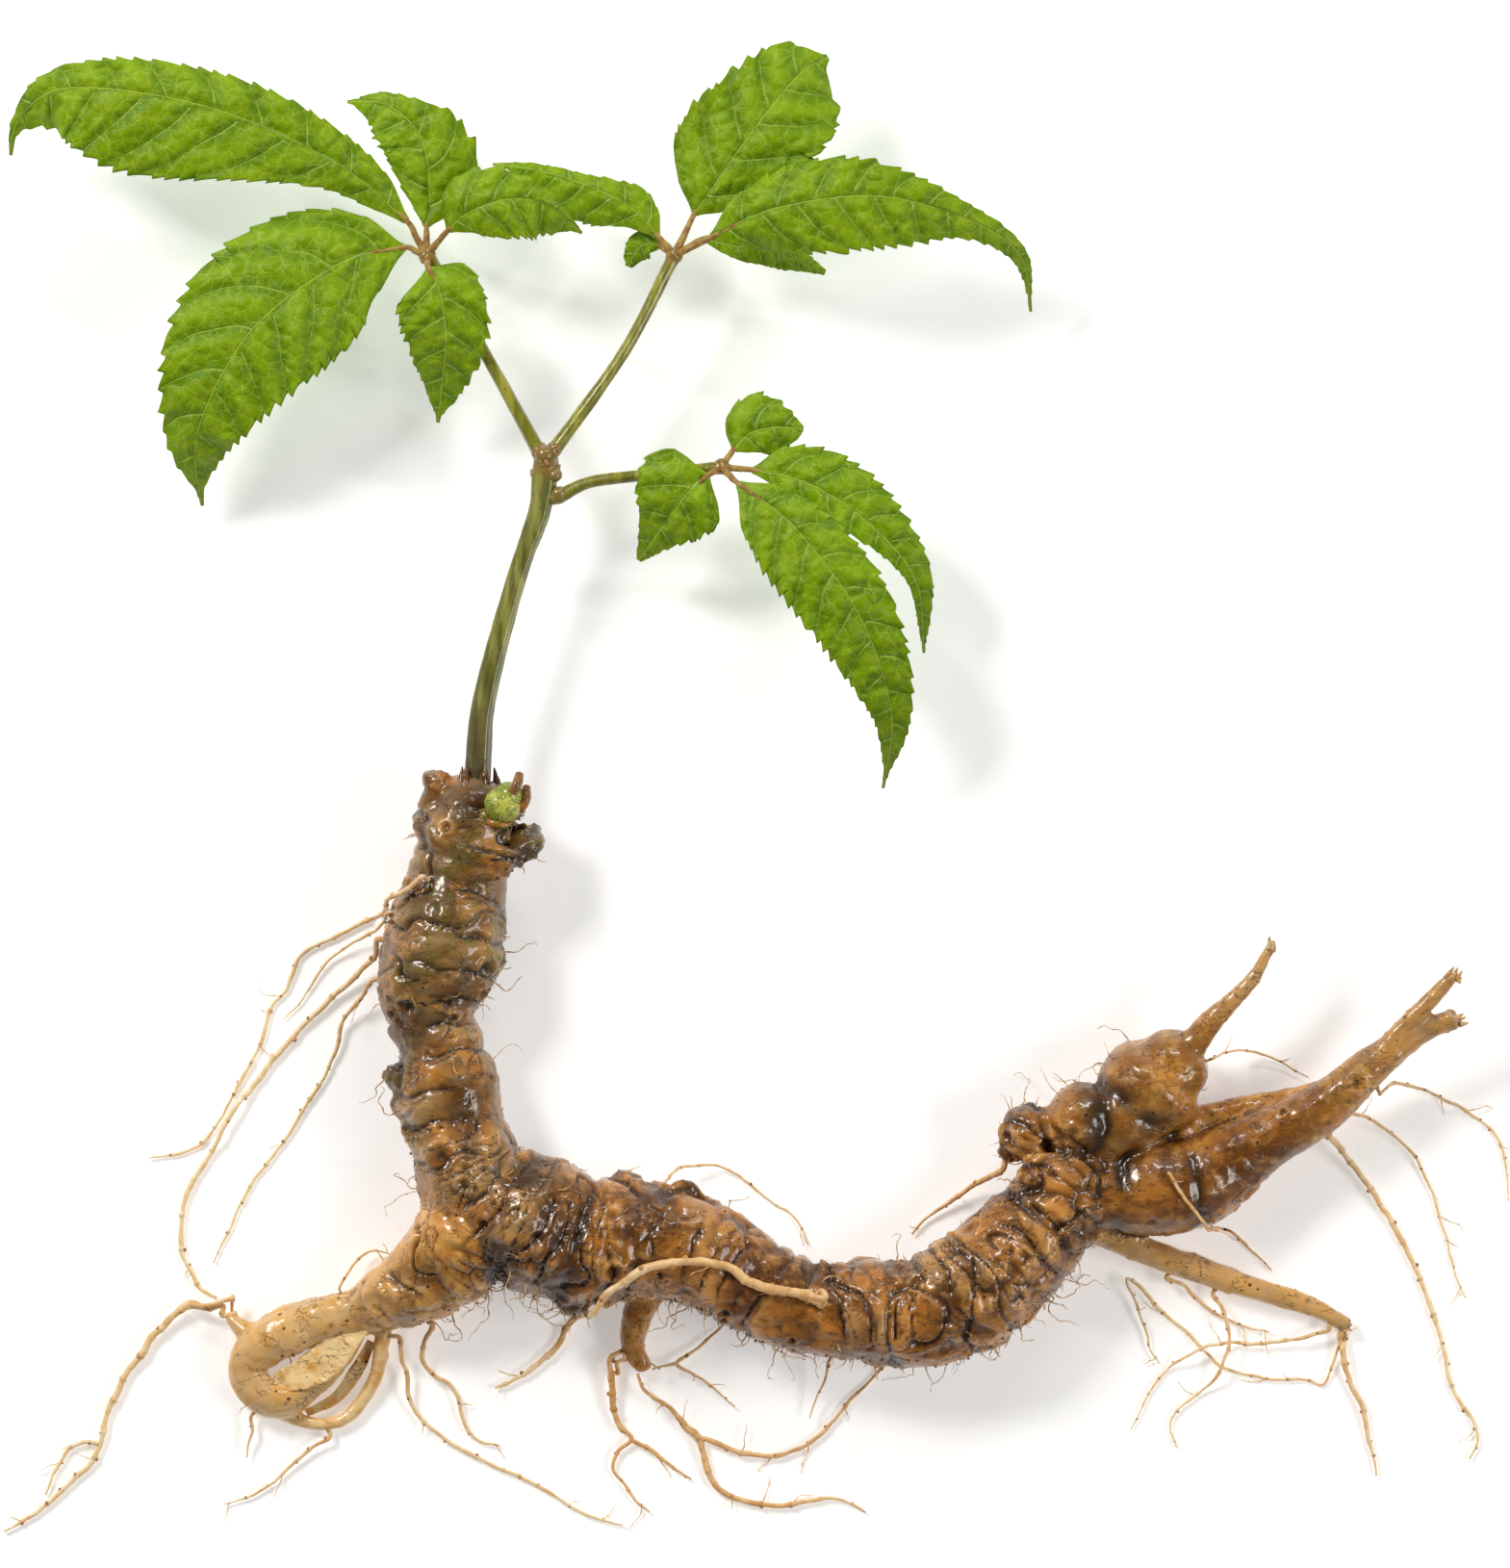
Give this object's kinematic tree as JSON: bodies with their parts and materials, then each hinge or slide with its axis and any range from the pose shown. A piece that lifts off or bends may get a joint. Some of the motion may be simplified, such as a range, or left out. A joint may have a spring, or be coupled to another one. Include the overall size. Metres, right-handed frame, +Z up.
{
  "type": "ginseng root",
  "caption": "Whole ginseng plant lying on its back: thick ringed rhizome with branch roots, tubers and fine rootlets, a slim stem and toothed palmate leaves.",
  "frame": {"origin": "centre of the footprint as the plant lies, at the surface that it lies on", "axes": "+Z up out of the surface, +Y from the root towards the stem and leaves, +X from the neck of the rhizome towards the tubers"},
  "size_m": [0.3129, 0.3088, 0.0327],
  "materials": {
    "root_bark": "satin",
    "rootlet_skin": "satin",
    "stem_skin": "satin",
    "petiole_skin": "satin",
    "leaf_blade": "satin"
  },
  "bodies": {
    "root": {"root_body": "root_bark", "main_stem": "stem_skin", "petiole_left": "petiole_skin", "petiole_middle": "petiole_skin", "petiole_right": "petiole_skin", "leaflet_left_long": "leaf_blade", "leaflet_left_broad": "leaf_blade", "leaflet_left_lower": "leaf_blade", "leaflet_left_back": "leaf_blade", "leaflet_left_front": "leaf_blade", "leaflet_middle_left": "leaf_blade", "leaflet_middle_small": "leaf_blade", "leaflet_middle_top": "leaf_blade", "leaflet_middle_long": "leaf_blade", "leaflet_middle_low": "leaf_blade", "leaflet_right_near": "leaf_blade", "leaflet_right_top": "leaf_blade", "leaflet_right_long": "leaf_blade", "leaflet_right_longest": "leaf_blade", "rootlet_arch": "rootlet_skin", "rootlet_back": "rootlet_skin", "rootlet_belly_small": "rootlet_skin", "rootlet_branch_down": "rootlet_skin", "rootlet_branch_long": "rootlet_skin", "rootlet_down_back": "rootlet_skin", "rootlet_down_left": "rootlet_skin", "rootlet_down_right": "rootlet_skin", "rootlet_junction_left": "rootlet_skin", "rootlet_knob_long": "rootlet_skin", "rootlet_loop_short": "rootlet_skin", "rootlet_loop_tail": "rootlet_skin", "rootlet_neck_front": "rootlet_skin", "rootlet_neck_long": "rootlet_skin", "rootlet_neck_low": "rootlet_skin", "rootlet_neck_short": "rootlet_skin", "rootlet_over_rhizome": "rootlet_skin", "rootlet_side_curl": "rootlet_skin", "rootlet_side_drop": "rootlet_skin", "rootlet_side_end": "rootlet_skin", "rootlet_side_long": "rootlet_skin", "rootlet_side_middle": "rootlet_skin", "rootlet_tip": "rootlet_skin", "rootlet_top_arch": "rootlet_skin", "rootlet_tuber_front": "rootlet_skin", "rootlet_tuber_long": "rootlet_skin", "rootlet_tuber_right": "rootlet_skin"}
  },
  "joints": []
}
